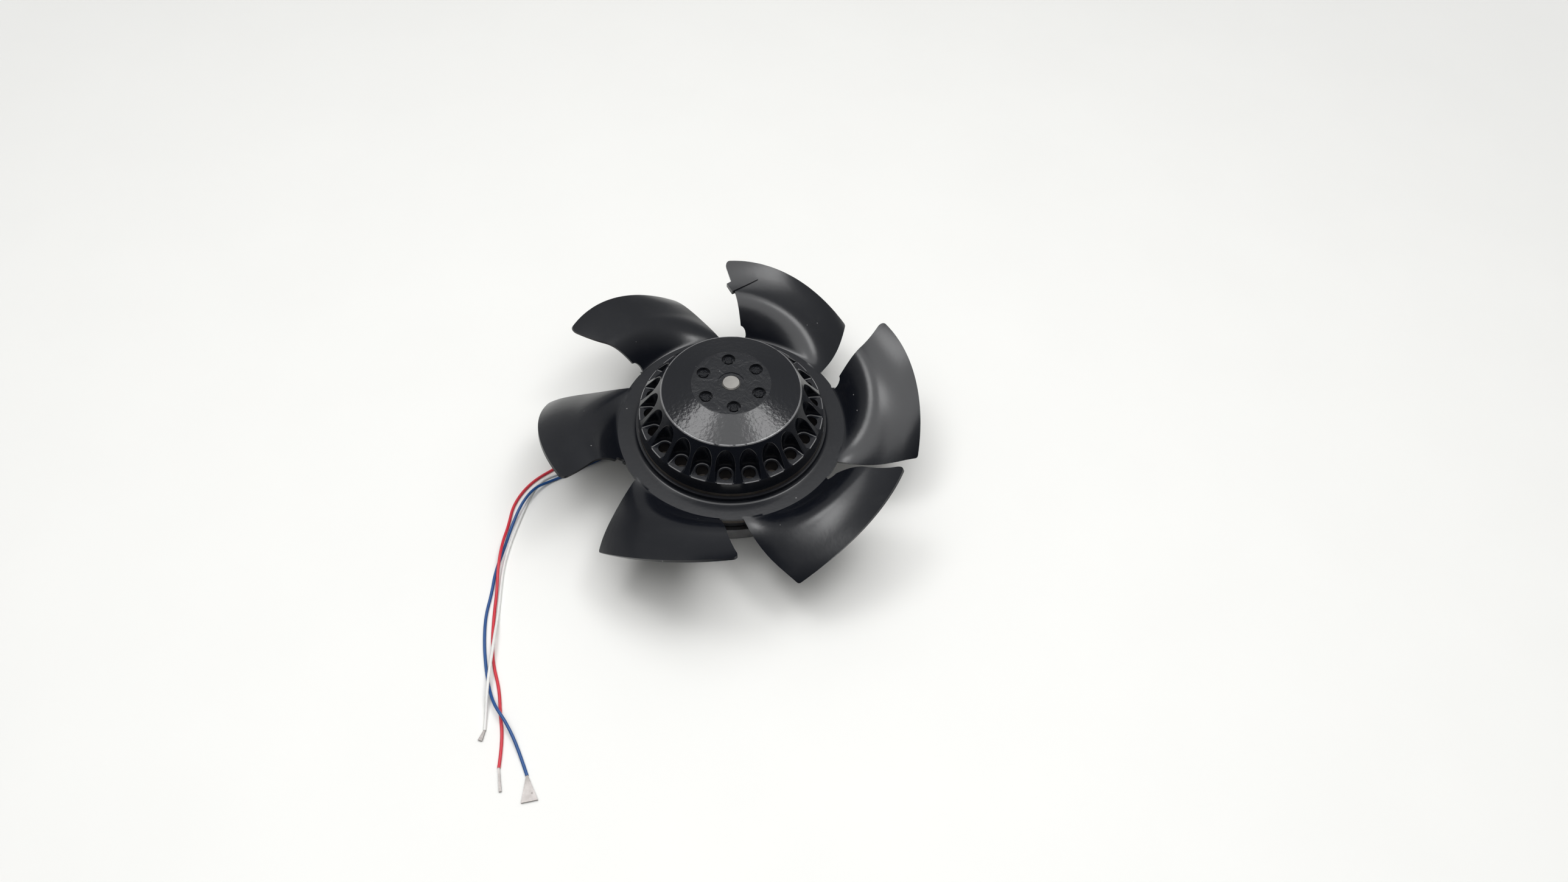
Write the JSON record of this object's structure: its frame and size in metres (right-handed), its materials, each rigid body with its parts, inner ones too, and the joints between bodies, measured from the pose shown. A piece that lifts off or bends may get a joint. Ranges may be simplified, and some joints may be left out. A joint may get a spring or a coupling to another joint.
{
  "type": "motor cooling fan",
  "caption": "Axial cooling fan: wide black pressed blades on the bell of an external-rotor motor, bare mounting flange, free leads with stripped ends.",
  "frame": {"origin": "centre of the mounting face under the flange, on the motor axis", "axes": "+Z along the motor shaft, from the mounting flange to the rotor's face; +X to the right as pictured"},
  "size_m": [0.1839, 0.2511, 0.058],
  "materials": {
    "cast_aluminium": "bare die-cast aluminium, dull grey",
    "black_rubber": "matt black rubber",
    "sleeve": "pale insulating sleeve",
    "lamination_steel": "stacked electrical steel with a trace of rust",
    "insulator": "moulded glass-filled nylon, natural",
    "copper_winding": "enamelled copper wire",
    "protector": "moulded black plastic",
    "bearing_steel": "ground bearing steel",
    "shield_steel": "pressed steel",
    "spring_steel": "blued spring steel",
    "red_insulation": "red plastic insulation",
    "blue_insulation": "blue plastic insulation",
    "white_insulation": "white plastic insulation",
    "bare_strands": "tinned copper strands, partly dulled",
    "shaft_steel": "ground steel with a turned end",
    "painted_casting": "cast aluminium, black gloss paint with orange peel",
    "painted_sheet": "pressed steel sheet, satin black paint"
  },
  "bodies": {
    "stator": {"stator_flange": "cast_aluminium", "lead_grommet": "black_rubber", "splice_sleeves": "sleeve", "stator_laminations": "lamination_steel", "lower_end_cap": "insulator", "upper_end_cap": "insulator", "stator_coils": "copper_winding", "thermal_protector": "protector", "lower_bearing_outer_race": "bearing_steel", "upper_bearing_outer_race": "bearing_steel", "lower_bearing_shields": "shield_steel", "upper_bearing_shields": "shield_steel", "preload_spring": "spring_steel", "lead_red": "red_insulation", "lead_blue": "blue_insulation", "lead_white": "white_insulation", "lead_red_strands": "bare_strands", "lead_blue_strands": "bare_strands", "lead_white_strands": "bare_strands"},
    "rotor": {"shaft": "shaft_steel", "shaft_circlip": "spring_steel", "shaft_spacer": "bearing_steel", "lower_bearing_inner_race": "bearing_steel", "upper_bearing_inner_race": "bearing_steel", "lower_bearing_balls": "bearing_steel", "upper_bearing_balls": "bearing_steel", "rotor_laminations": "lamination_steel", "rotor_bell": "painted_casting", "impeller": "painted_sheet", "balance_clip": "painted_sheet"}
  },
  "joints": [
    {"name": "rotor_spin", "type": "hinge", "parent": "stator", "child": "rotor", "pos_m": [0, 0, 0.03], "axis": [0, 0, 1], "continuous": true}
  ]
}
